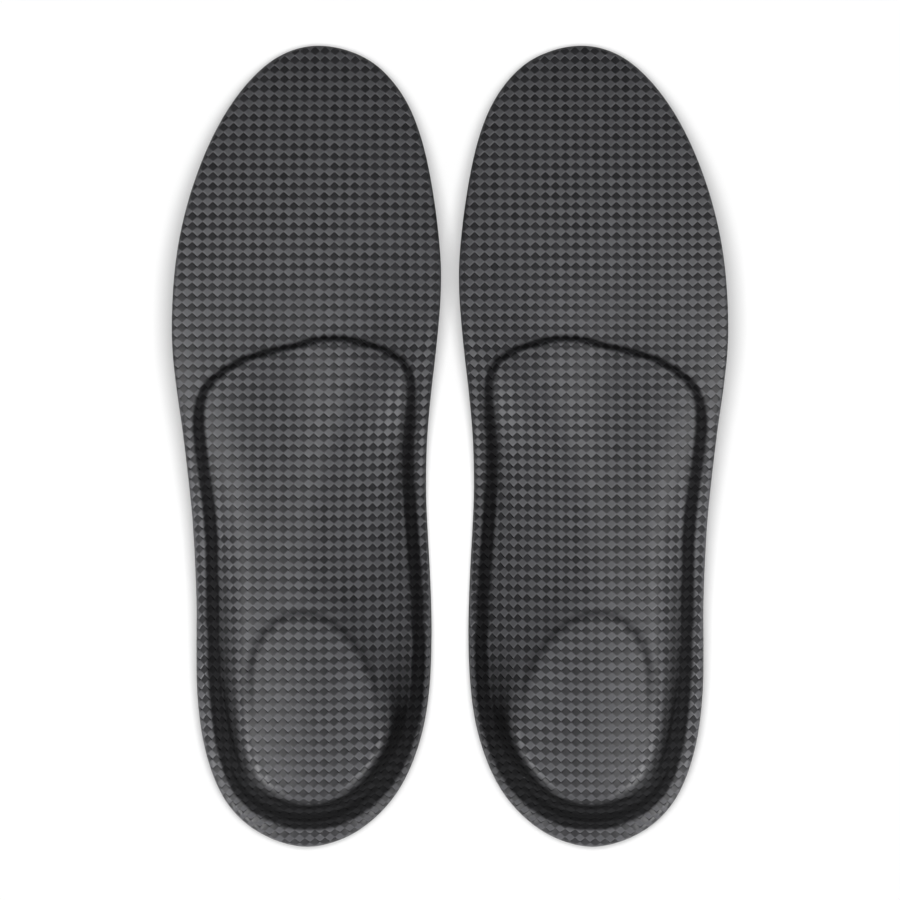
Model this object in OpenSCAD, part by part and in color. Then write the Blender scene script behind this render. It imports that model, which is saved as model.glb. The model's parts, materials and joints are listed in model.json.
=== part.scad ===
// Pair of cushioned insoles, lying sole side up, toes towards +Y.
// Each insole is a foam bed with a knit top cover let into its foot side. A
// semi-rigid shell is let into its sole side from the heel to behind the ball, a
// flat pad is let into the shell under the heel, and an embossed film covers the
// whole sole side. All the pieces are lofted through one set of form lines, so
// each one seats on the next. Heights count from the flat sole towards the foot.

/* [Insole] */
// Length from heel to toe
insole_l = 270; // [225:1:325]
// Greatest width, across the ball
insole_w = 89.5; // [75:0.5:107.5]
// Lift of the toe tip above the ball
toe_spring = 14.6; // [6:0.2:18]
// Height of the shell's medial edge under the arch
arch_h = 12.8; // [9:0.2:15.4]
// Extra height of the wall behind the heel
cup_lip_h = 5.8; // [4:0.2:7]
// Gap between the two insoles of the pair at the ball
pair_gap = 6.8; // [2:0.1:40]

/* [Layers] */
// Thickness of the embossed film on the sole side
film_t = 0.5; // [0.3:0.05:1]
// Thickness of the support shell
shell_t = 1.6; // [1:0.1:2.5]
// Step from the face of the shell to the forefoot
shell_step = 2; // [1:0.1:2.6]
// Thickness of the pad under the heel
pad_t = 1.5; // [0.8:0.1:2.5]
// Thickness of the foam under the heel
foam_heel_t = 4; // [3:0.1:6]
// Thickness of the foam at the edge of the shell and behind the ball
foam_ball_t = 3; // [2.4:0.1:5]
// Thickness of the foam along the outer rim
foam_rim_t = 2.6; // [2:0.1:3.4]
// Thickness of the knit top cover
cover_t = 0.9; // [0.6:0.1:1.2]
// Width of the bare foam bead outside the top cover
bead_w = 1.5; // [1:0.1:1.8]

/* [Heel pad] */
// Length of the heel pad
pad_l = 62; // [48:1:64]
// Width of the heel pad
pad_w = 42; // [34:1:43]
// Turn of the pad's front end towards the outer side of the foot
pad_lean = 15; // [8:1:18]

/* [Hidden] */

// The form lines are drawn at these sizes, and scaled to the sizes above. Each one
// starts at the toe end and goes round by the medial side, with the same count of
// points, and points with the same place in their lists lie on one spoke.
drawn_l = 270;
drawn_w = 89.5;
drawn_arch_h = 12.8;
drawn_lip_h = 5.8;
spokes_per_point = 2;

// Outline of the insole: [x, y, rise of the flange above the wall]
EDGE_LINE = [
    [4, 135, 0.1], [21.5, 129.5, 0.1], [34, 114.5, 0.1], [41, 92, 0.1],
    [44.8, 62, 0.1], [44, 40, 0.4], [41.8, 20, 0.9], [40.2, 2, 1.3],
    [39.9, -18, 1.5], [41, -40, 1.5], [41.7, -63, 1.6], [40.6, -85, 2],
    [36.6, -103, 2.6], [28.8, -118.5, 3.6], [16, -130.2, 4.2], [0, -135, 4.3],
    [-16, -130.2, 4.3], [-27.5, -119.2, 4.2], [-34.3, -101.5, 3.4], [-36.9, -80, 2.7],
    [-36.9, -54, 2], [-38.2, -24, 1.5], [-41.4, 6, 1], [-44.7, 34, 0.5],
    [-43.2, 64, 0.2], [-36.8, 90.5, 0.1], [-26.2, 113.5, 0.1], [-12, 129.7, 0.1]
];

// Wall round the shell: [x, y, half its width, height of its foot, extra height]
WALL_LINE = [
    [4, 35.4, 1, 0, 0], [12.5, 35.6, 1, 0, 0], [20.5, 34, 1, 0.3, 0], [27.7, 31.2, 1, 1, 0],
    [33, 27, 1.1, 2.2, 0], [35, 19.5, 1.4, 4.6, 0.1],
    [34.5, 8, 1.8, 7.6, 0.3], [33.9, -4, 2, 10, 0.5],
    [34.4, -19, 2, 12, 0.5], [36.2, -40, 2, 12.8, 0.4],
    [37.2, -63, 2, 11.4, 0.6], [36.6, -84, 2.2, 9.8, 1],
    [32.6, -101, 2.3, 8.2, 2.2], [24.4, -113.5, 3.5, 6.4, 4],
    [12.8, -122, 4, 5, 5.4], [0, -124.8, 4.1, 4.6, 5.8],
    [-12.8, -121.6, 3.7, 4.9, 5.2], [-22.4, -113.6, 3, 5.7, 3.6],
    [-27.8, -99, 2.5, 6.6, 1.9], [-30.5, -79, 2.2, 6.8, 1],
    [-31.3, -54, 2.1, 6.1, 0.7], [-32, -26, 2, 4.2, 0.4],
    [-35.5, 3, 1.8, 1.5, 0.1], [-34.7, 16.5, 1.4, 0.3, 0],
    [-29.3, 23.6, 1.1, 0, 0], [-20.5, 28.9, 1, 0, 0], [-12, 31.5, 1, 0, 0], [-4, 33.4, 1, 0, 0]
];

// Foot of the rise into arch and heel cup: [x, y, height, bearing from the pad's
// centre, height half way to the pad]
RISE_LINE = [
    [3, 27, 0, -10, 0], [9, 27, 0, -7.6, 0],
    [14.5, 26.5, 0.1, -5.2, 0.4], [19.5, 25.2, 0.3, -2.6, 1.3],
    [23, 22, 0.8, 0.2, 2.3], [23, 14, 1.6, 3.2, 2.9], [21, 2, 3, 6.4, 3.2], [18.5, -12, 4, 10, 3.2],
    [16.5, -27, 4.4, 14.4, 2.9], [15.6, -43, 4, 21, 2.2],
    [17.6, -60, 2.8, 34, 1.2], [23.6, -76, 1.4, 64, 0.3],
    [27, -91, 0.6, 98, 0.1], [23.6, -105.5, 0.2, 131, 0],
    [14, -115.6, 0, 158, 0], [3.5, -118.6, 0, 178, 0],
    [-7, -116.2, 0, 199, 0], [-15.4, -107.5, 0, 223, 0],
    [-20, -94, 0, 253, 0], [-20.8, -77, 0, 288, 0],
    [-20, -55, 0, 318, 0], [-20, -28, 0, 326, 0], [-21.5, 0, 0, 331, 0], [-21.5, 12, 0, 336, 0],
    [-19.3, 19.5, 0, 340, 0], [-14, 23.6, 0, 343.6, 0],
    [-8.4, 25.6, 0, 346, 0], [-2.6, 26.6, 0, 348, 0]
];

// Centre of the heel pad on the drawn form lines
pad_x = 3;
pad_y = -86;
// Where the toe spring begins, as drawn
spring_y = 45;
// Share of the rise into arch and cup that is kept for its outer half
rise_bias = 0.25;

scale_x = insole_w / drawn_w;
scale_y = insole_l / drawn_l;
lift = arch_h / drawn_arch_h;
axis_x = (insole_w + pair_gap) / 2;
pad_centre = [pad_x * scale_x, pad_y * scale_y];

// Closed smooth curve through points of any number of columns
function through(a, b, c, d, t) =
    0.5 * (2 * b + (c - a) * t + (2 * a - 5 * b + 4 * c - d) * t ^ 2
        + (3 * b - a - 3 * c + d) * t ^ 3);
function closed_curve(points) = [
    for (k = [0 : len(points) - 1])
        let (
            n = len(points), a = points[(k + n - 1) % n],
            c = points[(k + 1) % n], d = points[(k + 2) % n]
        )
            for (j = [0 : spokes_per_point - 1]) through(a, points[k], c, d, j / spokes_per_point)
];

edge = closed_curve(EDGE_LINE);
wall = closed_curve(WALL_LINE);
rise = closed_curve(RISE_LINE);
spokes = len(edge);

function mix(a, b, t) = a * (1 - t) + b * t;
function plan(line) = [for (p = line) [p.x * scale_x, p.y * scale_y]];
function outward(loop, i) =
    let (d = loop[(i + 1) % spokes] - loop[(i + spokes - 1) % spokes]) [-d.y, d.x] / norm(d);
function spring(y) =
    toe_spring * (max(0, y - spring_y * scale_y) / (insole_l / 2 - spring_y * scale_y)) ^ 2;

// Plans of the lines that everything is lofted through
edge_plan = plan(edge);
wall_plan = plan(wall);
rise_plan = plan(rise);
bead_plan = [for (i = [0 : spokes - 1]) edge_plan[i] - bead_w * outward(edge_plan, i)];
shell_plan = [for (i = [0 : spokes - 1]) wall_plan[i] - wall[i][2] * outward(wall_plan, i)];
flange_plan = [for (i = [0 : spokes - 1]) wall_plan[i] + wall[i][2] * outward(wall_plan, i)];
bearings = [for (i = [0 : spokes - 1]) pad_bearing(i)];
pad_plan = [for (b = bearings) pad_centre + pad_radius(b) * [sin(b), cos(b)]];

// Bearings run on past 360 degrees, and the last spokes lead back to the first
function pad_bearing(i) =
    let (k = floor(i / spokes_per_point), t = i / spokes_per_point - k, count = len(RISE_LINE))
        mix(RISE_LINE[k][3], RISE_LINE[(k + 1) % count][3] + (k == count - 1 ? 360 : 0), t);
function pad_radius(b) =
    1 / sqrt((cos(b + pad_lean) / (pad_l / 2)) ^ 2 + (sin(b + pad_lean) / (pad_w / 2)) ^ 2);

// Heights of the sole face along the lines
shell_h = [for (w = wall) max(0, w[3]) * lift];
flange_h = [for (i = [0 : spokes - 1]) shell_h[i] + shell_step + wall[i][4] * cup_lip_h / drawn_lip_h];
edge_h = [for (i = [0 : spokes - 1]) flange_h[i] + edge[i].z];
rise_h = [for (r = rise) max(0, r.z) * lift];
hollow_h = [for (r = rise) max(0, r[4]) * lift];
// Height of the sole face above the table, where the highest rim lies
sole_z = max([for (i = [0 : spokes - 1]) edge_h[i] + spring(edge_plan[i].y)]) + film_t + foam_rim_t;

// One loop of the sole face, a share t of the way from one line to the next
function loop(plan_a, plan_b, h_a, h_b, t) = [
    for (i = [0 : spokes - 1])
        let (p = mix(plan_a[i], plan_b[i], t)) [p.x, p.y, mix(h_a[i], h_b[i], t) + spring(p.y)]
];
function deeper(points, t) = [for (p = points) p + [0, 0, t]];
none = [for (i = [1 : spokes]) 0];

// Sole face, from the heel pad outwards
pad_loop = loop(pad_plan, pad_plan, none, none, 0);
hollow_loop = loop(pad_plan, rise_plan, hollow_h, hollow_h, 0.5);
rise_loop = loop(rise_plan, rise_plan, rise_h, rise_h, 0);
slope_loop = loop(rise_plan, shell_plan, rise_h, mix(shell_h, rise_h, rise_bias / 2), 0.5);
shell_loop = loop(shell_plan, shell_plan, shell_h, shell_h, 0);
flange_loops = [for (t = [0, 1 / 3, 2 / 3, 1]) loop(flange_plan, edge_plan, flange_h, edge_h, t)];
shell_face = [pad_loop, hollow_loop, rise_loop, slope_loop, shell_loop];

// Foot side of the foam, under the top cover
function heelward(y) = min(1, max(0, (spring_y * scale_y - y) / (spring_y - pad_y) / scale_y));
core_t = film_t + shell_t;
heel_stack = core_t + pad_t + foam_heel_t;
rise_stack = [for (i = [0 : spokes - 1])
    rise_h[i] + core_t + mix(foam_ball_t, pad_t + foam_heel_t, heelward(rise_plan[i].y))];
flange_stack = [for (h = flange_h) h + film_t + foam_ball_t];
edge_stack = [for (h = edge_h) h + film_t + foam_rim_t - cover_t];
bead_loop = [
    for (i = [0 : spokes - 1])
        [bead_plan[i].x, bead_plan[i].y, edge_stack[i] + spring(edge_plan[i].y)]
];
foot_face = [
    deeper(pad_loop, heel_stack),
    loop(rise_plan, rise_plan, rise_stack, rise_stack, 0),
    deeper(shell_loop, core_t + foam_ball_t),
    for (t = [0, 1 / 3, 2 / 3]) loop(flange_plan, bead_plan, flange_stack, edge_stack, t),
    bead_loop
];

// Solid between two faces, each a list of loops from the inside outwards
module lofted(sole_side, foot_side) {
    loops = [each sole_side, for (k = [len(foot_side) - 1 : -1 : 0]) foot_side[k]];
    turn = len(sole_side) - 1;
    points = [for (l = loops) for (p = l) [p.x, p.y, sole_z - p.z]];
    sides = [
        for (k = [0 : len(loops) - 2]) for (i = [0 : spokes - 1])
            let (a = k * spokes, b = a + spokes, j = (i + 1) % spokes)
                each k < turn
                    ? [[a + i, b + i, b + j], [a + i, b + j, a + j]]
                    : [[a + i, b + i, a + j], [b + i, b + j, a + j]]
    ];
    first = [for (i = [0 : spokes - 1]) i];
    last = [for (i = [spokes - 1 : -1 : 0]) (len(loops) - 1) * spokes + i];
    polyhedron(points = points, faces = [first, last, each sides]);
}

// Embossed film that covers the sole side from edge to edge
module sole_film() {
    face = [each shell_face, each flange_loops];
    color("#2b2b2d") lofted(face, [for (l = face) deeper(l, film_t)]);
}

// Flat shock-absorbing pad under the heel
module heel_pad() {
    color("#5a5f66")
        translate([0, 0, sole_z - film_t - pad_t])
            linear_extrude(pad_t) polygon(pad_plan);
}

// Semi-rigid shell that cups the heel and carries the arch
module support_shell() {
    seat = film_t + pad_t;
    color("#3c3c3e")
        lofted(
            [deeper(pad_loop, seat), for (l = shell_face) deeper(l, film_t)],
            [deeper(pad_loop, seat + shell_t), for (k = [1 : 4]) deeper(shell_face[k], core_t)]
        );
}

// Full-length cushioning foam with a pocket for the shell and a seat for the cover
module foam_bed() {
    color("#222224")
        lofted(
            [
                deeper(pad_loop, core_t + pad_t), for (k = [1 : 4]) deeper(shell_face[k], core_t),
                deeper(shell_loop, film_t), for (l = flange_loops) deeper(l, film_t)
            ],
            [each foot_face, deeper(bead_loop, cover_t), deeper(flange_loops[3], film_t + foam_rim_t)]
        );
}

// Knit fabric on the foot side, flush with the foam bead round it
module top_cover() {
    color("#303033") lofted(foot_face, [for (l = foot_face) deeper(l, cover_t)]);
}

module right() {
    translate([-axis_x, 0, 0]) children();
}

module left() {
    mirror([1, 0, 0]) right() children();
}

right() sole_film();  // right_sole_film
right() heel_pad();  // right_heel_pad
right() support_shell();  // right_support_shell
right() foam_bed();  // right_foam_bed
right() top_cover();  // right_top_cover
left() sole_film();  // left_sole_film
left() heel_pad();  // left_heel_pad
left() support_shell();  // left_support_shell
left() foam_bed();  // left_foam_bed
left() top_cover();  // left_top_cover
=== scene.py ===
import json
import math

import bpy
import numpy as np
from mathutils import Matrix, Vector, geometry
from mathutils.bvhtree import BVHTree
from mathutils.kdtree import KDTree

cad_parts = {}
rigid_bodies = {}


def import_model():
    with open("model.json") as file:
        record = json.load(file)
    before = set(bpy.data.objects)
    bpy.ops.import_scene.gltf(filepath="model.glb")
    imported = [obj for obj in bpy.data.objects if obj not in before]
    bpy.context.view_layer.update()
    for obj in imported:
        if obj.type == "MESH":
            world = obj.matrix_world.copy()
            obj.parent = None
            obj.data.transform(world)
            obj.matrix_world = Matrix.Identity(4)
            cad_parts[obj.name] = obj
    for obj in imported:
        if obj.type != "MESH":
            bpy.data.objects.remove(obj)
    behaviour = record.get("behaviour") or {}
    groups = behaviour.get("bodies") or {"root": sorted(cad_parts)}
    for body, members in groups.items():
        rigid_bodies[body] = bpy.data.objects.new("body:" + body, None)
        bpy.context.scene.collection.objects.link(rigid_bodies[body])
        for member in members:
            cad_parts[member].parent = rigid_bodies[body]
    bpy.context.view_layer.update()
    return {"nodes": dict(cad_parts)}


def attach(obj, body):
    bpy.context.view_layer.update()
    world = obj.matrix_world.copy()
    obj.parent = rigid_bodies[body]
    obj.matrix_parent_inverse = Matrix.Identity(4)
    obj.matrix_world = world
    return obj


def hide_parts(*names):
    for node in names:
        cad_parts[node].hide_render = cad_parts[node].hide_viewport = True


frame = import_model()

# Studio. The pair lies on a plain white table, under a camera that looks straight
# down. Soft boxes stand low at the left, at the right and beyond the heels, and none
# hangs near the camera, so level areas stay dark and slopes to the sides catch light.
MM = 0.001
CAMERA_LENS = 200.0
CAMERA_SENSOR = 36.0
VIEW_WIDTH = 302.4 * MM
VIEW_CENTRE_Y = -1.3 * MM
VIEW_HEIGHT = 10.0 * MM
SKY = 0.14
TABLE_HALF = 3.0
AIM_X = 0.05         # the boxes point at the middle of each foot
# Place, size and power of each soft box, for the left foot; the right foot's are mirrored
BOXES = {
    "outer": ((0.40, -0.04, 0.92), (0.34, 0.55), 5.6),
    "heel": ((0.69, -0.64, 0.48), (0.34, 0.34), 10.0),
    "inner": ((-0.60, -0.64, 0.46), (0.34, 0.34), 8.5),
}
TABLE_BOX = ((0, 0, 1.2), (0.9, 0.9), 18.0)


def linear(code, alpha=1.0):
    """Linear colour of an sRGB hex code."""
    parts = [int(code[i:i + 2], 16) / 255 for i in (1, 3, 5)]
    return (*(c / 12.92 if c <= 0.04045 else ((c + 0.055) / 1.055) ** 2.4 for c in parts), alpha)


def node(tree, kind, links=None, **settings):
    """Adds a node; links maps an input's name or number to a node, a socket or a value."""
    made = tree.nodes.new(kind)
    for name, value in settings.items():
        setattr(made, name, value)
    for key, value in (links or {}).items():
        value = value.outputs[0] if isinstance(value, bpy.types.Node) else value
        if isinstance(value, bpy.types.NodeSocket):
            tree.links.new(value, made.inputs[key])
        else:
            made.inputs[key].default_value = value
    return made


def material(name):
    """A new node material, its tree and its shader."""
    made = bpy.data.materials.new(name)
    made.use_nodes = True
    return made, made.node_tree, made.node_tree.nodes["Principled BSDF"]


def softbox(name, place, target, size, power):
    """A rectangular soft box that faces the target."""
    data = bpy.data.lights.new(name, "AREA")
    data.shape = "RECTANGLE"
    data.size, data.size_y = size
    data.energy = power
    box = bpy.data.objects.new(name, data)
    box.location = place
    box.rotation_euler = (Vector(target) - Vector(place)).to_track_quat("-Z", "Y").to_euler()
    bpy.context.scene.collection.objects.link(box)
    return box


camera_data = bpy.data.cameras.new("camera")
camera_data.lens = CAMERA_LENS
camera_data.sensor_width = CAMERA_SENSOR
camera = bpy.data.objects.new("camera", camera_data)
camera.location = (0, VIEW_CENTRE_Y, VIEW_HEIGHT + VIEW_WIDTH * CAMERA_LENS / CAMERA_SENSOR)
bpy.context.scene.collection.objects.link(camera)
bpy.context.scene.camera = camera
bpy.context.scene.view_settings.view_transform = "Standard"

world = bpy.data.worlds.new("studio")
world.use_nodes = True
world.node_tree.nodes["Background"].inputs["Color"].default_value = linear("#ffffff")
world.node_tree.nodes["Background"].inputs["Strength"].default_value = SKY
bpy.context.scene.world = world

# Each foot is lit from its outer side, with weaker boxes beyond the heel, and a box
# overhead lights the table alone. The last section links each box to what it lights.
lamps = []
for foot, sign in (("right", -1), ("left", 1)):
    for name, (place, size, power) in BOXES.items():
        place = (sign * place[0], place[1], place[2])
        lamps.append((softbox(f"{foot}_{name}_box", place, (sign * AIM_X, 0, 0), size, power), foot))
place, size, power = TABLE_BOX
lamps.append((softbox("table_box", place, (0, 0, 0), size, power), "table"))

table_mesh = bpy.data.meshes.new("table")
corners = [(x * TABLE_HALF, y * TABLE_HALF, 0) for x, y in ((-1, -1), (1, -1), (1, 1), (-1, 1))]
table_mesh.from_pydata(corners, [], [(0, 1, 2, 3)])
table = bpy.data.objects.new("table", table_mesh)
bpy.context.scene.collection.objects.link(table)
paint, tree, shader = material("white_painted_table")
shader.inputs["Base Color"].default_value = linear("#f0f0f0")
shader.inputs["Roughness"].default_value = 0.9
shader.inputs["Specular IOR Level"].default_value = 0.1
table_mesh.materials.append(paint)

# Sole film. The real piece is a 0.5 mm black thermoplastic film, embossed with a plain
# weave of tows at 45 degrees so that it looks like carbon fibre, and laminated in the
# mould over the whole sole side, so its weave follows every wall and hollow.
SIDES = {"right": 1, "left": -1}
FILM_T = 0.5
TOW_W = 2.4
WEAVE_RISE = 0.15
WEAVE_GROOVE = 0.07
GRID_STEP = 0.5
ALONG = 10           # smooth steps between two spokes of the form lines
SKIRT = 6.0          # the heights run on this far past the edge
STRAIGHT_Y = 60.0    # the weave is true along this line and the foot's middle
# Height, middle and spread of the hollow behind the shell's front edge and of the heel's
# crown; the place, direction and two sides of the fold beside the hollow; the pad's step
HOLLOW = (-1.5, (-7, 18), (9.5, 18))
CROWN = (1.5, (-5, -86), (11, 24))
FOLD_AT, FOLD_ACROSS, FOLD_LONG = (12.6, 5.6), (0.93, -0.37), 17
FOLD_SIDES = ((0.75, -4, 5), (-0.55, 6, 5))
PAD_STEP, PAD_CREASE = 0.3, 0.3


def form_lines(name, side):
    """Loops of a CAD layer's face from the heel pad out to its edge, in mm, mirrored for
    the left foot, clockwise, with one point of each loop on each spoke."""
    mesh = frame["nodes"][name].data
    points = np.array([v.co for v in mesh.vertices], float) / MM * (side, 1, 1)
    keys = [tuple(k) for k in np.round(points[:, :2], 3)]
    top = {}
    for key, z in zip(keys, points[:, 2]):
        top[key] = max(z, top.get(key, z))
    mesh.calc_loop_triangles()
    third = {}
    for triangle in mesh.loop_triangles:
        corners = list(triangle.vertices)
        if all(points[c, 2] > top[keys[c]] - 0.01 for c in corners):
            for turn in range(3):
                a, b, c = (keys[corners[(turn + k) % 3]] for k in range(3))
                third.setdefault(frozenset((a, b)), set()).add(c)
    beside = {}
    for edge, seen in third.items():
        if len(seen) == 1 and len(edge) == 2:
            a, b = edge
            beside.setdefault(a, []).append(b)
            beside.setdefault(b, []).append(a)
    start = max(beside, key=lambda k: k[1])
    loop = [start, max(beside[start])]
    while len(loop) < len(beside):
        loop.append(next(k for k in beside[loop[-1]] if k != loop[-2]))
    loops, used = [loop], set(loop)
    while True:
        outer = loops[-1]
        inner = []
        for a, b in zip(outer, outer[1:] + outer[:1]):
            inner += [k for k in third[frozenset((a, b))] if k not in used][:1]
        if len(inner) < len(outer):
            break
        loops.append(inner)
        used |= set(inner)
    return [np.array([(*k, top[k]) for k in loop]) for loop in reversed(loops)]


def round_curve(loop):
    """The loop with ALONG smooth steps between its points."""
    a, b, c, d = (np.roll(loop, k, 0)[:, None] for k in (1, 0, -1, -2))
    t = (np.arange(ALONG) / ALONG)[None, :, None]
    curve = 0.5 * (2 * b + (c - a) * t + (2 * a - 5 * b + 4 * c - d) * t ** 2
                   + (3 * b - a - 3 * c + d) * t ** 3)
    return curve.reshape(-1, 3)


def band(lines, steps, ease=lambda t: t):
    """Loops across a band of form lines, with heights on the curve through all of them."""
    places = np.linspace(0, 1, len(lines))
    loops = []
    for t in np.linspace(0, 1, steps + 1)[1:]:
        plan = lines[0] * (1 - t) + lines[-1] * t
        share = ease(t)
        z = 0
        for k, line in enumerate(lines):
            weight = np.prod([(share - p) / (places[k] - p) for p in places if p != places[k]])
            z = z + weight * line[:, 2]
        loops.append(np.column_stack([plan[:, :2], z]))
    return loops


def outward(loop):
    """Unit directions out of a clockwise loop, in plan."""
    d = np.roll(loop, -1, 0) - np.roll(loop, 1, 0)
    return np.column_stack([-d[:, 1], d[:, 0]]) / np.hypot(d[:, 0], d[:, 1])[:, None]


def blur(grid, mask, sigma):
    """Gaussian mean of the grid's known cells, sigma in mm."""
    reach = int(3 * sigma / GRID_STEP) + 1
    kernel = np.exp(-0.5 * (np.arange(-reach, reach + 1) * GRID_STEP / sigma) ** 2)
    total, share = grid * mask, mask.astype(float)
    for axis in (0, 1):
        total = np.apply_along_axis(np.convolve, axis, total, kernel, "same")
        share = np.apply_along_axis(np.convolve, axis, share, kernel, "same")
    return total / np.maximum(share, 1e-9)


def ring_faces(rings, count):
    """Quads between rings of points that follow each other in one list."""
    quads = []
    for first in range(0, (rings - 1) * count, count):
        for i in range(count):
            a, b = first + i, first + (i + 1) % count
            quads.append((a, a + count, b + count, b))
    return quads


def swell(x, y, height, middle, widths):
    """A soft hill, or a dip of negative height."""
    across, along = (x - middle[0]) / widths[0], (y - middle[1]) / widths[1]
    return height * np.exp(-(across ** 2 + along ** 2) / 2)


class Relief:
    """Sole face of one insole as heights on a plan grid, with the lengths of its surface
    along X and Y, which say how a flat film drapes over it."""

    def __init__(self, name, side):
        lines = [round_curve(loop) for loop in form_lines(name, side)]
        pad, hollow, rise, _, shell, flange, *_, edge = lines
        self.pad, self.rise, self.shell, self.flange, self.edge = pad, rise, shell, flange, edge
        loops = [pad, *band([pad, hollow, rise], 24), *band([rise, shell], 16, lambda t: t ** 1.6)]
        wall_from = len(loops) - 1
        loops += band([shell, flange], 10, lambda t: t * t * (3 - 2 * t))
        wall_to = len(loops) - 1
        loops += band(lines[5:], 40)
        edge_at = len(loops) - 1
        step = (loops[-1] - loops[-3])
        fall = step[:, 2] / np.hypot(step[:, 0], step[:, 1])
        beyond = edge[:, :2] + SKIRT * outward(edge)
        loops.append(np.column_stack([beyond, edge[:, 2] + SKIRT * fall]))
        count = len(edge)
        faces = ring_faces(len(loops), count)
        faces.append(tuple(range(count)))
        tree = BVHTree.FromPolygons(np.concatenate(loops).tolist(), faces)
        low, high = edge.min(0) - SKIRT, edge.max(0) + SKIRT
        self.xs = np.arange(low[0], high[0], GRID_STEP)
        self.ys = np.arange(low[1], high[1], GRID_STEP)
        z = np.zeros((len(self.xs), len(self.ys)))
        ring = np.full(z.shape, -1)
        for i, x in enumerate(self.xs):
            for j, y in enumerate(self.ys):
                hit, _, face, _ = tree.ray_cast(Vector((x, y, 60)), Vector((0, 0, -1)))
                if hit is not None:
                    z[i, j] = hit.z
                    ring[i, j] = face // count
        known = ring >= 0
        wall = blur(((ring >= wall_from) & (ring < wall_to)).astype(float), np.ones_like(z), 1.0)
        wall = np.clip(2 * wall, 0, 1)
        self.z = blur(z, known, 0.6) * wall + blur(z, known, 2.0) * (1 - wall)
        gx, gy = np.meshgrid(self.xs - edge[:, 0].mean(), self.ys, indexing="ij")
        self.z += swell(gx, gy, *HOLLOW) + swell(gx, gy, *CROWN)
        fx, fy = gx - FOLD_AT[0], gy - FOLD_AT[1]
        across = FOLD_ACROSS[0] * fx + FOLD_ACROSS[1] * fy
        along = -FOLD_ACROSS[1] * fx + FOLD_ACROSS[0] * fy
        for height, middle, width in FOLD_SIDES:
            self.z += swell(across, along, height, (middle, 0), (width, FOLD_LONG))
        on_pad = blur((ring == len(loops) - 1).astype(float), np.ones_like(z), 1.2)
        crease = 4 * on_pad * (1 - on_pad) * np.clip((gy + 95) / 20, 0, 1)
        self.z += PAD_STEP * on_pad - PAD_CREASE * crease
        self.z[~known] = 0
        self.inside = known & ((ring < edge_at) | (ring == len(loops) - 1))
        close = KDTree(len(edge) * 4)
        after = np.roll(edge, -1, 0)
        for k, p in enumerate(np.concatenate([edge + (after - edge) * t for t in (0, 0.25, 0.5, 0.75)])):
            close.insert((p[0], p[1], 0), k)
        close.balance()
        away = np.array([[close.find((x, y, 0))[2] for y in self.ys] for x in self.xs])
        self.depth = np.where(self.inside, away, -away)
        behind = np.clip((-self.ys[None, :] - 85) / 25, 0, 1)
        self.turn = 0.02 * np.clip(7 - self.depth, 0, 7) ** 2 * behind   # the flange falls less here
        self.z += self.turn
        gx, gy = np.gradient(self.z, GRID_STEP)
        gx[~known] = 0
        gy[~known] = 0
        slope = np.degrees(np.arctan(np.hypot(gx, gy)))
        # Painted shade for the film: walls, slopes steeper than 32 degrees and the pad's crease get a
        # share from 0 to 1, which the film material paints near black with dimmed reflection.
        low_front = np.clip((self.ys[None, :] - 10) / 50, 0, 1)
        walls = np.clip(2 * wall - 1, 0, 1) * (0.9 - 0.4 * low_front)
        cup = ((ring < wall_to) | (ring == len(loops) - 1)).astype(float)
        within = np.clip(2 * blur(cup, known, 0.8) - 1, 0, 1)
        drawn = np.clip((slope - 32) / 20, 0, 1) * (1 - 0.4 * low_front) * (0.25 + 0.75 * within)
        self.steep = np.maximum(drawn, np.maximum(walls, 0.5 * crease))
        self.u = self.run(np.sqrt(1 + gx ** 2), 0, self.xs, edge[:, 0].mean())
        self.v = self.run(np.sqrt(1 + gy ** 2), 1, self.ys, STRAIGHT_Y)

    def run(self, length, axis, places, start):
        """Surface length along one axis from the start line."""
        mean = (length + np.roll(length, 1, axis)) / 2 * GRID_STEP
        total = np.cumsum(mean, axis)
        at = int(np.argmin(abs(places - start)))
        return total - np.take(total, [at], axis) + (places[at] - start)

    def at(self, grid, x, y):
        """Bilinear value of a grid."""
        fx = np.clip((x - self.xs[0]) / GRID_STEP, 0, len(self.xs) - 1.001)
        fy = np.clip((y - self.ys[0]) / GRID_STEP, 0, len(self.ys) - 1.001)
        i, j = fx.astype(int), fy.astype(int)
        a, b = fx - i, fy - j
        return ((grid[i, j] * (1 - a) + grid[i + 1, j] * a) * (1 - b)
                + (grid[i, j + 1] * (1 - a) + grid[i + 1, j + 1] * a) * b)

    def place(self, u, v):
        """Plan points where the draped film's own coordinates are u and v."""
        x, y = u + self.edge[:, 0].mean(), v + STRAIGHT_Y
        for _ in range(25):
            x = x + 0.8 * (u - self.at(self.u, x, y))
            y = y + 0.8 * (v - self.at(self.v, x, y))
        return x, y


# Where the mesh is cut across each tow, as shares of its width: finer at its edges
CUTS = np.array([0.0, 0.1, 0.3, 0.6, 0.9])
NEAR_EDGE = 0.35     # cut tows end this far from the film's edge, in mm
RIM_DROP = 0.25      # the film's corner is rounded down by this
UNDER_STEP = 4.0     # spacing of the points of its plain underside


def inside_of(points, starts, ends):
    """Which points lie inside the closed outlines made of these edges, in any order."""
    result = np.zeros(len(points), bool)
    x, y = points[:, 0], points[:, 1]
    for a, b in zip(starts, ends):
        crosses = (a[1] > y) != (b[1] > y)
        if crosses.any():
            at = (b[0] - a[0]) * (y[crosses] - a[1]) / (b[1] - a[1]) + a[0]
            result[crosses] ^= x[crosses] < at
    return result


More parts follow.
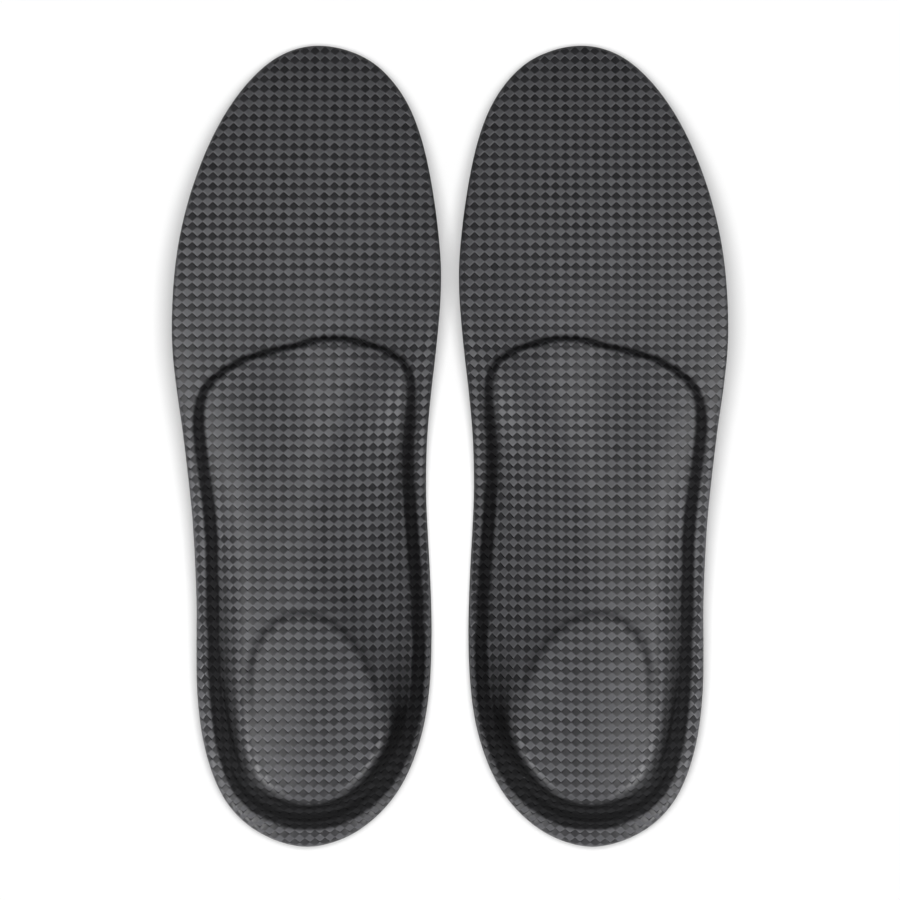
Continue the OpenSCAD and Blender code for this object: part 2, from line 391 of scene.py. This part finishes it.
def film_mesh(name, relief, side):
    """Closed film whose upper face is cut along its tows, with a weave attribute in tows."""
    reach = int(160 / TOW_W)
    tows = (np.arange(-reach, reach)[:, None] + CUTS).ravel()
    s, t = np.meshgrid(tows, tows, indexing="ij")
    u, v = (s - t) * TOW_W / math.sqrt(2), (s + t) * TOW_W / math.sqrt(2)
    near = (abs(u) < 60) & (abs(v + STRAIGHT_Y) < 170)
    x, y = np.full(s.shape, 1e6), np.full(s.shape, 1e6)
    x[near], y[near] = relief.place(u[near], v[near])
    depth = np.full(s.shape, -1.0)
    depth[near] = relief.at(relief.depth, x[near], y[near])
    good = depth > NEAR_EDGE
    quads = good[:-1, :-1] & good[1:, :-1] & good[:-1, 1:] & good[1:, 1:]
    used = np.zeros(s.shape, bool)
    for di in (0, 1):
        for dj in (0, 1):
            used[di:used.shape[0] - 1 + di, dj:used.shape[1] - 1 + dj] |= quads
    index = np.full(s.shape, -1)
    index[used] = np.arange(used.sum())
    plan = np.column_stack([x[used], y[used]])
    weave = np.column_stack([s[used], t[used]])
    i, j = np.nonzero(quads)
    corners = np.column_stack([index[i, j], index[i + 1, j], index[i + 1, j + 1], index[i, j + 1]])

    edges = np.concatenate([corners[:, [k, (k + 1) % 4]] for k in range(4)])
    key = np.sort(edges, 1) @ [1, len(plan)]
    _, first, uses = np.unique(key, return_index=True, return_counts=True)
    border = edges[first[uses == 1]]
    rim = relief.edge[:, :2]
    ids = np.unique(border)
    local = {int(k): n for n, k in enumerate(ids)}
    flat = np.concatenate([plan[ids], rim])
    links = [(local[int(a)], local[int(b)]) for a, b in border]
    links += [(len(ids) + k, len(ids) + (k + 1) % len(rim)) for k in range(len(rim))]
    flat = [Vector(p) for p in flat]
    out, _, cells, origin, _, _ = geometry.delaunay_2d_cdt(flat, links, [], 0, 1e-6)
    source = [o[0] if o else -1 for o in origin]
    cells = np.array(cells)
    spots = np.array([tuple(p) for p in out])
    middle = spots[cells].mean(1)
    taken = inside_of(middle, plan[border[:, 0]], plan[border[:, 1]])
    cells = cells[inside_of(middle, rim, np.roll(rim, -1, 0)) & ~taken]
    renumber = [ids[k] if 0 <= k < len(ids) else len(plan) + k - len(ids) for k in source]
    strip = np.array(renumber)[cells]

    plan = np.concatenate([plan, rim])
    ru, rv = (relief.at(grid, rim[:, 0], rim[:, 1]) for grid in (relief.u, relief.v))
    weave = np.concatenate([weave, np.column_stack([rv + ru, rv - ru]) / math.sqrt(2) / TOW_W])
    z = relief.at(relief.z, plan[:, 0], plan[:, 1])
    top_rim = np.arange(len(plan) - len(rim), len(plan))
    z[top_rim] -= RIM_DROP
    fade = np.clip(relief.at(relief.depth, plan[:, 0], plan[:, 1]) / 0.9, 0, 1)
    fade[top_rim] = 0

    inner = np.array([
        (a, b) for a in np.arange(relief.xs[0], relief.xs[-1], UNDER_STEP)
        for b in np.arange(relief.ys[0], relief.ys[-1], UNDER_STEP)
    ])
    inner = inner[relief.at(relief.depth, inner[:, 0], inner[:, 1]) > 2.0]
    flat = np.concatenate([rim, inner])
    ring = [(k, (k + 1) % len(rim)) for k in range(len(rim))]
    seeds = [Vector(p) for p in flat]
    out, _, under, origin, _, _ = geometry.delaunay_2d_cdt(seeds, ring, [], 0, 1e-6)
    under = np.array(under)
    spots = np.array([tuple(p) for p in out])
    under = under[inside_of(spots[under].mean(1), rim, np.roll(rim, -1, 0))]
    source = np.array([o[0] for o in origin])
    low_z = relief.at(relief.z, flat[:, 0], flat[:, 1]) - FILM_T
    base = len(plan)
    steep = relief.at(relief.steep, plan[:, 0], plan[:, 1])
    steep = np.concatenate([steep, np.zeros(len(flat))])
    low_faces = base + source[under]
    points = np.concatenate([np.column_stack([plan, z]), np.column_stack([flat, low_z])])
    weave = np.concatenate([weave, np.zeros((len(flat), 2))])
    fade = np.concatenate([fade, np.zeros(len(flat))])
    k = np.arange(len(rim))
    wall = np.column_stack([top_rim[k], top_rim[(k + 1) % len(rim)], base + (k + 1) % len(rim), base + k])
    cells = np.column_stack([weave, fade])
    return film_object(name, points, cells, steep, (corners, strip, wall, low_faces), side)


def plan_area(points, faces):
    """Twice the signed area of each face's first corner, seen from above."""
    a, b, c = (points[faces[:, k], :2] for k in range(3))
    return (b[:, 0] - a[:, 0]) * (c[:, 1] - a[:, 1]) - (b[:, 1] - a[:, 1]) * (c[:, 0] - a[:, 0])


def film_object(name, points, cells, steep, parts, side):
    """Object from the film's points and its four groups of faces, all turned outwards,
    with the weave cell at each point and the share of painted shade for walls and creases."""
    quads, strip, wall, low = parts
    up = lambda faces: np.where((plan_area(points, faces) > 0)[:, None], faces, faces[:, ::-1])
    quads, strip, low = up(quads), up(strip), up(low)[:, ::-1]
    faces = [*quads.tolist(), *strip.tolist(), *wall.tolist(), *low.tolist()]
    if side < 0:
        points = points * (-1, 1, 1)
        faces = [f[::-1] for f in faces]
    mesh = bpy.data.meshes.new(name)
    mesh.from_pydata((points * MM).tolist(), [], faces)
    weave = mesh.attributes.new("weave", "FLOAT_VECTOR", "POINT")
    weave.data.foreach_set("vector", cells.astype(np.float32).ravel())
    # Share of painted shade on walls, steep slopes and creases, from 0 to 1.
    stretch = mesh.attributes.new("stretch", "FLOAT", "POINT")
    stretch.data.foreach_set("value", steep.astype(np.float32))
    made = bpy.data.objects.new(name, mesh)
    bpy.context.scene.collection.objects.link(made)
    return made


MATH = "ShaderNodeMath"


def weave_relief():
    """Geometry tree that embosses the cells of the weave attribute into the film. Even
    cells rise towards the toes and odd cells fall, both steeply beside the grooves where
    they meet at the heel side of the even ones, and level off on the crests between."""
    tree = bpy.data.node_groups.new("embossed_weave", "GeometryNodeTree")
    face = tree.interface
    face.new_socket("Geometry", in_out="INPUT", socket_type="NodeSocketGeometry")
    for label, value in (("Rise", 0.0), ("Groove", 0.0)):
        face.new_socket(label, in_out="INPUT", socket_type="NodeSocketFloat").default_value = value
    face.new_socket("Film", in_out="INPUT", socket_type="NodeSocketMaterial")
    face.new_socket("Geometry", in_out="OUTPUT", socket_type="NodeSocketGeometry")
    start = node(tree, "NodeGroupInput")
    weave = node(tree, "GeometryNodeInputNamedAttribute", {"Name": "weave"}, data_type="FLOAT_VECTOR")
    parts = node(tree, "ShaderNodeSeparateXYZ", {0: weave})
    s, t = (node(tree, MATH, {0: parts.outputs[k], 1: 0.0005}, operation="ADD") for k in (0, 1))
    i, j = (node(tree, MATH, {0: place}, operation="FLOOR") for place in (s, t))
    odd = node(tree, MATH, {0: i, 1: j}, operation="ADD")
    odd = node(tree, MATH, {0: odd, 1: 2.0}, operation="FLOORED_MODULO")
    lift = 0.0
    for place in (s, t):
        share = node(tree, MATH, {0: place}, operation="FRACT")
        share = node(tree, MATH, {0: odd, 1: share}, operation="SUBTRACT")
        share = node(tree, MATH, {0: share}, operation="ABSOLUTE")
        slant = node(tree, MATH, {0: share, 1: math.pi / 2}, operation="MULTIPLY")
        slant = node(tree, MATH, {0: slant}, operation="SINE")
        lift = node(tree, MATH, {0: slant, 1: start.outputs["Rise"], 2: lift}, operation="MULTIPLY_ADD")
        bank = node(tree, MATH, {0: share, 1: 10.0}, operation="MULTIPLY", use_clamp=True)
        lift = node(tree, MATH, {0: bank, 1: start.outputs["Groove"], 2: lift}, operation="MULTIPLY_ADD")
    lift = node(tree, MATH, {0: lift, 1: parts.outputs[2]}, operation="MULTIPLY")
    normal = node(tree, "GeometryNodeInputNormal")
    move = node(tree, "ShaderNodeVectorMath", {0: normal, "Scale": lift}, operation="SCALE")
    moved = node(tree, "GeometryNodeSetPosition", {"Geometry": start, "Offset": move})
    real = node(tree, "GeometryNodeRealizeInstances", {"Geometry": moved})
    film = start.outputs["Film"]
    done = node(tree, "GeometryNodeSetMaterial", {"Geometry": real, "Material": film})
    node(tree, "NodeGroupOutput", {"Geometry": done})
    return tree


def grown(piece, tree, **inputs):
    """Runs a geometry tree on the piece with its inputs set, and keeps the result."""
    modifier = piece.modifiers.new("grow", "NODES")
    modifier.node_group = tree
    for item in tree.interface.items_tree:
        if item.item_type == "SOCKET" and item.in_out == "INPUT" and item.name in inputs:
            modifier[item.identifier] = inputs[item.name]
    view = bpy.context.evaluated_depsgraph_get()
    mesh = bpy.data.meshes.new_from_object(piece.evaluated_get(view), depsgraph=view)
    piece.modifiers.remove(modifier)
    mesh.name = piece.name
    piece.data = mesh
    return piece


def film_material():
    """Thermoplastic film with a satin embossed face. Even and odd cells of the weave are
    painted light and dark, standing in for the different light the two tow directions
    reflect, and at the grooves the light cells carry a painted highlight and the dark ones
    painted shade. Streaks 1.5 mm long, eleven across a tow, and a hatch of 0.6 mm show the
    fibres, both drawn coarser than real fibres. Where the film runs over a wall, a steep
    slope or the pad's crease, its colour is painted near black and its reflection dimmed,
    as painted shade, and it is rougher."""
    made, tree, shader = material("embossed_thermoplastic_film")
    weave = node(tree, "ShaderNodeAttribute", attribute_name="weave")
    parts = node(tree, "ShaderNodeSeparateXYZ", {0: weave.outputs["Vector"]})
    s, t = parts.outputs[0], parts.outputs[1]
    i, j = (node(tree, MATH, {0: place}, operation="FLOOR") for place in (s, t))
    odd = node(tree, MATH, {0: i, 1: j}, operation="ADD")
    odd = node(tree, MATH, {0: odd, 1: 2.0}, operation="FLOORED_MODULO")
    across = node(tree, "ShaderNodeMix", {0: odd, 2: s, 3: t})
    along = node(tree, "ShaderNodeMix", {0: odd, 2: t, 3: s})
    cell = node(tree, "ShaderNodeCombineXYZ", {0: i, 1: j, 2: odd})
    chance = node(tree, "ShaderNodeTexWhiteNoise", {"Vector": cell}, noise_dimensions="3D")
    streak = node(tree, "ShaderNodeCombineXYZ", {0: along, 1: across, 2: odd})
    streak = node(tree, "ShaderNodeVectorMath", {0: streak, 1: (1.6, 11.0, 7.3)}, operation="MULTIPLY")
    fibre = node(tree, "ShaderNodeTexNoise", {"Vector": streak, "Scale": 1.0, "Detail": 2.0})
    hatch = node(tree, MATH, {0: across, 1: 2 * math.pi * 4}, operation="MULTIPLY")
    hatch = node(tree, MATH, {0: hatch}, operation="SINE")
    spot = node(tree, "ShaderNodeTexCoord").outputs["Object"]
    cloud = node(tree, "ShaderNodeTexNoise", {"Vector": spot, "Scale": 1 / (11.11 * MM), "Detail": 4.0})
    # Painted light: even cells get a light tone and odd cells a dark one, standing in for the different
    # light the two tow directions reflect.
    tone = node(tree, MATH, {0: odd, 1: -0.42, 2: 0.39}, operation="MULTIPLY_ADD")
    for part, weight in ((chance, 0.12), (cloud, 0.1), (fibre, 0.25), (hatch, 0.09)):
        tone = node(tree, MATH, {0: part, 1: weight, 2: tone}, operation="MULTIPLY_ADD")
    # Painted highlight and shade at the grooves: next to them the light cells are painted paler and the
    # dark cells darker.
    gaps = []
    for place in (s, t):
        share = node(tree, MATH, {0: place}, operation="FRACT")
        share = node(tree, MATH, {0: odd, 1: share}, operation="SUBTRACT")
        gaps.append(node(tree, MATH, {0: share}, operation="ABSOLUTE"))
    gap = node(tree, MATH, dict(enumerate(gaps)), operation="MINIMUM")
    wear_and_groove_light = node(tree, "ShaderNodeMapRange", {0: gap, 1: 0.0, 2: 0.16, 3: 1.0, 4: 0.0})
    weight = node(tree, MATH, {0: odd, 1: -0.75, 2: 0.5}, operation="MULTIPLY_ADD")
    tone = node(tree, MATH, {0: wear_and_groove_light, 1: weight, 2: tone}, operation="MULTIPLY_ADD")
    shades = {0: tone, 6: linear("#131314"), 7: linear("#535356")}
    colour = node(tree, "ShaderNodeMix", shades, data_type="RGBA").outputs[2]
    # Painted shade: on walls, steep slopes and the pad's crease the colour is painted near black and the
    # specular tint dimmed to grey, so they read as shaded.
    stretch = node(tree, "ShaderNodeAttribute", attribute_name="stretch").outputs["Fac"]
    drawn = node(tree, "ShaderNodeMix", {0: stretch, 6: colour, 7: linear("#040405")}, data_type="RGBA")
    tree.links.new(drawn.outputs[2], shader.inputs["Base Color"])
    shades = {0: stretch, 6: linear("#ffffff"), 7: linear("#7c7c7c")}
    tint = node(tree, "ShaderNodeMix", shades, data_type="RGBA")
    tree.links.new(tint.outputs[2], shader.inputs["Specular Tint"])
    shader.inputs["Specular IOR Level"].default_value = 0.24
    rough = node(tree, MATH, {0: fibre, 1: 0.14, 2: 0.3}, operation="MULTIPLY_ADD")
    rough = node(tree, MATH, {0: stretch, 1: 0.4, 2: rough}, operation="MULTIPLY_ADD")
    tree.links.new(rough.outputs[0], shader.inputs["Roughness"])
    height = node(tree, MATH, {0: hatch, 1: 0.3, 2: fibre}, operation="MULTIPLY_ADD")
    bump = node(tree, "ShaderNodeBump", {"Height": height, "Distance": 0.04 * MM, "Strength": 0.6})
    tree.links.new(bump.outputs[0], shader.inputs["Normal"])
    return made


reliefs = {foot: Relief(foot + "_sole_film", side) for foot, side in SIDES.items()}
weave_tree = weave_relief()
carbon_film = film_material()
for foot, side in SIDES.items():
    film = film_mesh(foot + "_carbon_look_film", reliefs[foot], side)
    grown(film, weave_tree, Rise=WEAVE_RISE * MM, Groove=WEAVE_GROOVE * MM, Film=carbon_film)
    film.data.materials.clear()
    film.data.materials.append(carbon_film)
    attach(film, foot + "_insole")
    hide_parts(foot + "_sole_film")

# Heel pad. The real one is a soft grey gel pad, cast flat and set into a pocket of the
# shell under the heel. The film is drawn over it, so that its outline shows.
PAD_T = 1.5
GAP = 0.03           # each layer is drawn this much clear of the next


def stack(name, loops, side):
    """Closed body through rings of points, the first and last ring capped, turned out."""
    count = len(loops[0])
    points = np.concatenate(loops)
    faces = ring_faces(len(loops), count)
    for first, turn in ((0, 1), ((len(loops) - 1) * count, -1)):
        middle = len(points)
        points = np.concatenate([points, points[first:first + count].mean(0)[None]])
        faces += [(first + i, first + (i + 1) % count, middle)[::turn] for i in range(count)]
    if side < 0:
        points = points * (-1, 1, 1)
        faces = [f[::-1] for f in faces]
    mesh = bpy.data.meshes.new(name)
    mesh.from_pydata((points * MM).tolist(), [], faces)
    mesh.shade_smooth()
    made = bpy.data.objects.new(name, mesh)
    bpy.context.scene.collection.objects.link(made)
    return made


def between(inner, outer, shares):
    """Plan rings at shares of the way between two rings."""
    return [inner[:, :2] * (1 - t) + outer[:, :2] * t for t in shares]


def at_depth(relief, plans, depth):
    """The plan rings laid on the sole face at a depth in mm."""
    return [np.column_stack([p, relief.at(relief.z, p[:, 0], p[:, 1]) - depth]) for p in plans]


def steps(count, start=0.0, end=1.0):
    """Even shares from start to end."""
    return np.linspace(start, end, count + 1)


def middle_of(relief):
    """A ring shrunk to the middle of the heel pad."""
    return relief.pad * 0 + (*relief.pad[:, :2].mean(0), 0)


def gel_material():
    """Cast polyurethane gel: 7 mm clouds and 1 mm bubbles just under a smooth skin."""
    made, tree, shader = material("moulded_polyurethane_gel")
    place = node(tree, "ShaderNodeTexCoord").outputs["Object"]
    cloud = node(tree, "ShaderNodeTexNoise", {"Vector": place, "Scale": 1 / (7.14 * MM), "Detail": 3.0})
    shades = {0: cloud, 6: linear("#50555c"), 7: linear("#666b72")}
    colour = node(tree, "ShaderNodeMix", shades, data_type="RGBA")
    tree.links.new(colour.outputs[2], shader.inputs["Base Color"])
    pores = node(tree, "ShaderNodeTexVoronoi", {"Vector": place, "Scale": 1 / (1.11 * MM)})
    bump = node(tree, "ShaderNodeBump", {"Height": pores, "Distance": 0.1 * MM, "Strength": 0.3})
    tree.links.new(bump.outputs[0], shader.inputs["Normal"])
    rough = node(tree, "ShaderNodeMapRange", {0: cloud, 3: 0.28, 4: 0.42})
    tree.links.new(rough.outputs[0], shader.inputs["Roughness"])
    shader.inputs["Subsurface Weight"].default_value = 0.1
    shader.inputs["Subsurface Scale"].default_value = 1.0 * MM
    return made


gel = gel_material()
for foot, side in SIDES.items():
    relief = reliefs[foot]
    plans = between(middle_of(relief), relief.pad, [*steps(6, 0.1, 0.97), 0.995])
    upper = at_depth(relief, plans, FILM_T + GAP)
    lower = [ring - (0, 0, PAD_T - 2 * GAP) for ring in upper[::-1]]
    gel_pad = stack(foot + "_gel_heel_pad", (upper + lower)[::-1], side)
    gel_pad.data.materials.append(gel)
    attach(gel_pad, foot + "_insole")
    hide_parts(foot + "_heel_pad")

# Support shell. The real one is a stiff three-quarter shell of injection-moulded nylon
# that cups the heel and carries the arch, bonded into the foam's sole side under the film.
SHELL_T = 1.6


def nylon_material():
    """Injection-moulded nylon: a satin spark-eroded grain of 0.4 mm, drawn coarser than
    the real one, and faint flow marks of 30 mm from the gate."""
    made, tree, shader = material("injection_moulded_nylon")
    place = node(tree, "ShaderNodeTexCoord").outputs["Object"]
    grain = node(tree, "ShaderNodeTexNoise", {"Vector": place, "Scale": 1 / (0.385 * MM), "Detail": 2.0})
    flow = node(tree, "ShaderNodeTexNoise",
                {"Vector": place, "Scale": 1 / (28.6 * MM), "Detail": 3.0, "Distortion": 1.5})
    shades = {0: flow, 6: linear("#2e2e30"), 7: linear("#414144")}
    colour = node(tree, "ShaderNodeMix", shades, data_type="RGBA")
    tree.links.new(colour.outputs[2], shader.inputs["Base Color"])
    bump = node(tree, "ShaderNodeBump", {"Height": grain, "Distance": 0.05 * MM, "Strength": 0.5})
    tree.links.new(bump.outputs[0], shader.inputs["Normal"])
    rough = node(tree, "ShaderNodeMapRange", {0: grain, 3: 0.4, 4: 0.55})
    tree.links.new(rough.outputs[0], shader.inputs["Roughness"])
    return made


def cup_plans(relief):
    """Plan rings over the heel pad, and from its outline out to the shell's."""
    on_pad = between(middle_of(relief), relief.pad, steps(6, 0.1, 1.0))
    past_pad = between(relief.pad, relief.rise, steps(20))
    return on_pad, past_pad + between(relief.rise, relief.shell, steps(16)[1:])


nylon = nylon_material()
for foot, side in SIDES.items():
    relief = reliefs[foot]
    on_pad, past_pad = cup_plans(relief)
    upper = at_depth(relief, on_pad, FILM_T + PAD_T + GAP) + at_depth(relief, past_pad, FILM_T + GAP)
    lower = at_depth(relief, on_pad, FILM_T + PAD_T + SHELL_T - GAP)
    lower += at_depth(relief, past_pad[1:-1], FILM_T + SHELL_T - GAP)
    shell = stack(foot + "_nylon_shell", (upper + lower[::-1])[::-1], side)
    shell.data.materials.append(nylon)
    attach(shell, foot + "_insole")
    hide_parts(foot + "_support_shell")

# Foam bed. The real one is compression-moulded black closed-cell EVA, full length, with
# a pocket for the shell and a soft rounded rim that is left bare all round the edge.
FOAM_RIM_T = 2.6
COVER_T = 0.9
RIM_BULGE = 0.22


def foam_material():
    """Moulded closed-cell foam: a dull skin with cells of 0.45 mm, drawn coarser than the
    real ones, pin holes 2 mm apart, painted darker inside as painted shade, and
    mottling of 4.5 mm."""
    made, tree, shader = material("moulded_closed_cell_foam")
    place = node(tree, "ShaderNodeTexCoord").outputs["Object"]
    cells = node(tree, "ShaderNodeTexVoronoi", {"Vector": place, "Scale": 1 / (0.455 * MM)})
    pins = node(tree, "ShaderNodeTexVoronoi", {"Vector": place, "Scale": 1 / (2.0 * MM)})
    hole = node(tree, "ShaderNodeMapRange", {0: pins, 1: 0.08, 2: 0.2})
    mottle = node(tree, "ShaderNodeTexNoise", {"Vector": place, "Scale": 1 / (4.55 * MM), "Detail": 5.0})
    shades = {0: mottle, 6: linear("#1a1a1c"), 7: linear("#2c2c2e")}
    skin = node(tree, "ShaderNodeMix", shades, data_type="RGBA").outputs[2]
    # Painted shade: the pin holes are painted near black.
    pitted = node(tree, "ShaderNodeMix", {0: hole, 6: linear("#0c0c0d"), 7: skin}, data_type="RGBA")
    tree.links.new(pitted.outputs[2], shader.inputs["Base Color"])
    bump = node(tree, "ShaderNodeBump", {"Height": cells, "Distance": 0.06 * MM, "Strength": 0.5})
    bump = node(tree, "ShaderNodeBump",
                {"Height": hole, "Distance": 0.1 * MM, "Strength": 0.6, "Normal": bump})
    tree.links.new(bump.outputs[0], shader.inputs["Normal"])
    rough = node(tree, "ShaderNodeMapRange", {0: mottle, 3: 0.7, 4: 0.88})
    tree.links.new(rough.outputs[0], shader.inputs["Roughness"])
    shader.inputs["Specular IOR Level"].default_value = 0.3
    return made


def foot_side(foot, side):
    """Rings of the foam's foot side, from the middle of the heel out to the bare bead."""
    lines = [round_curve(loop) for loop in form_lines(foot + "_top_cover", side)]
    relief = reliefs[foot]
    heel = between(middle_of(relief), relief.pad, steps(6, 0.1, 1.0)[:-1])
    rings = [np.column_stack([plan, lines[0][:, 2]]) for plan in heel]
    return [*rings, lines[0], *band(lines[:3], 30), *band(lines[2:4], 8), *band(lines[3:], 24)]


foam_skin = foam_material()
foot_faces = {}
for foot, side in SIDES.items():
    relief = reliefs[foot]
    edge = relief.edge
    on_pad, past_pad = cup_plans(relief)
    flange_plans = between(relief.shell, relief.flange, steps(8))
    flange_plans += between(relief.flange, edge, steps(16)[1:])
    sole = at_depth(relief, on_pad, FILM_T + PAD_T + SHELL_T + GAP)
    sole += at_depth(relief, past_pad[1:-1], FILM_T + SHELL_T + GAP)
    sole += at_depth(relief, flange_plans, FILM_T + GAP)
    out = outward(edge)
    rim_t = FOAM_RIM_T + relief.at(relief.turn, edge[:, 0], edge[:, 1])
    wall = []
    for t in (0.12, 0.3, 0.5, 0.7, 0.85):
        wall.append(sole[-1] + np.column_stack([out * RIM_BULGE * math.sin(math.pi * t), -rim_t * t]))
    for back, drop in ((0.12, 0.95), (0.35, 0.995), (0.7, 1.0)):
        wall.append(sole[-1] + np.column_stack([out * -back, -rim_t * drop]))
    foot_faces[foot] = foot_side(foot, side)
    lip = foot_faces[foot][-1] - (0, 0, COVER_T)
    wall.append((wall[-1] + lip) / 2)
    wall.append(lip + np.column_stack([out * 0.1, np.zeros(len(out))]))
    bed = stack(foot + "_moulded_foam_bed", (sole + wall + foot_faces[foot][::-1])[::-1], side)
    bed.data.materials.append(foam_skin)
    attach(bed, foot + "_insole")
    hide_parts(foot + "_foam_bed")

# Top cover. The real one is a thin brushed polyester jersey, laminated on the foam before
# it is moulded and trimmed inside the bare foam bead of the foot side.


def knit_material():
    """Fine jersey knit: wales of V-shaped stitches along the foot, with loose fibres.
    The stitches are drawn 1 mm wide, coarser than real ones, so that they can be seen.
    Each yarn leg is painted lighter along its crown and darker in the gaps between legs
    and courses, as painted shade."""
    made, tree, shader = material("brushed_polyester_jersey")
    place = node(tree, "ShaderNodeTexCoord").outputs["Object"]
    parts = node(tree, "ShaderNodeSeparateXYZ", {0: place})
    wale = node(tree, MATH, {0: parts.outputs[0], 1: 1 / (1.0 * MM)}, operation="MULTIPLY")
    wale = node(tree, MATH, {0: wale}, operation="FRACT")
    limb = node(tree, MATH, {0: wale, 1: 0.5}, operation="SUBTRACT")
    limb = node(tree, MATH, {0: limb}, operation="ABSOLUTE")
    course = node(tree, MATH, {0: parts.outputs[1], 1: 1 / (0.8 * MM)}, operation="MULTIPLY")
    course = node(tree, MATH, {0: course, 1: limb}, operation="SUBTRACT")
    twice = node(tree, MATH, {0: limb, 1: 2.0}, operation="MULTIPLY")
    rounds = []
    for share in (course, twice):
        share = node(tree, MATH, {0: share}, operation="FRACT")
        share = node(tree, MATH, {0: share, 1: math.pi}, operation="MULTIPLY")
        rounds.append(node(tree, MATH, {0: share}, operation="SINE"))
    yarn = node(tree, MATH, dict(enumerate(rounds)), operation="MULTIPLY")
    fuzz = node(tree, "ShaderNodeTexNoise", {"Vector": place, "Scale": 1 / (0.333 * MM), "Detail": 3.0})
    wear = node(tree, "ShaderNodeTexNoise", {"Vector": place, "Scale": 1 / (16.7 * MM), "Detail": 4.0})
    # Painted shade: the stitch colour is lighter on the crown of each yarn leg and darker in the gaps
    # between legs and courses.
    shades = {0: yarn, 6: linear("#131315"), 7: linear("#37373b")}
    knitted = node(tree, "ShaderNodeMix", shades, data_type="RGBA").outputs[2]
    wear_and_groove_light = node(tree, "ShaderNodeMix", {0: wear, 6: knitted, 7: linear("#2b2b2e")}, data_type="RGBA")
    tree.links.new(wear_and_groove_light.outputs[2], shader.inputs["Base Color"])
    height = node(tree, MATH, {0: fuzz, 1: 0.3, 2: yarn}, operation="MULTIPLY_ADD")
    bump = node(tree, "ShaderNodeBump", {"Height": height, "Distance": 0.25 * MM, "Strength": 0.7})
    tree.links.new(bump.outputs[0], shader.inputs["Normal"])
    rough = node(tree, "ShaderNodeMapRange", {0: fuzz, 3: 0.8, 4: 0.95})
    tree.links.new(rough.outputs[0], shader.inputs["Roughness"])
    shader.inputs["Sheen Weight"].default_value = 0.25
    shader.inputs["Sheen Roughness"].default_value = 0.4
    return made


def ring_area(rings):
    """Area in square metres of the face through the rings, its flat middle with it."""
    x, y = rings[0][:, 0], rings[0][:, 1]
    total = abs((x * np.roll(y, -1) - y * np.roll(x, -1)).sum()) / 2
    for a, b in zip(rings, rings[1:]):
        total += np.linalg.norm(np.cross(np.roll(a, -1, 0) - a, b - a), axis=1).sum()
    return total * MM ** 2


knit = knit_material()
for foot, side in SIDES.items():
    glued = [ring - (0, 0, GAP) for ring in foot_faces[foot][::4]]
    worn_face = [ring - (0, 0, COVER_T) for ring in foot_faces[foot]]
    out = outward(reliefs[foot].edge)
    inwards = np.column_stack([-out, np.zeros(len(out))])
    hem = []
    for rise, back in ((0.75, 0.05), (0.45, 0.05), (0.15, 0.08)):
        hem.append(worn_face[-1] + (0, 0, rise) + inwards * back)
    worn_face[-1] = worn_face[-1] + inwards * 0.3
    fabric = stack(foot + "_jersey_top_cover", (glued + hem + worn_face[::-1])[::-1], side)
    fabric.data.materials.append(knit)
    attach(fabric, foot + "_insole")
    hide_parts(foot + "_top_cover")
    ring_area(worn_face)

# Which box lights what. Each insole stands as if in a studio of its own, so that both are
# lit from their outer sides alike, and the table gets its own even light.
for lamp, subject in lamps:
    lit = bpy.data.collections.new(lamp.name + "_subject")
    for piece in bpy.data.objects:
        if piece.name.startswith(subject) and piece.type == "MESH":
            lit.objects.link(piece)
    lamp.light_linking.receiver_collection = lit
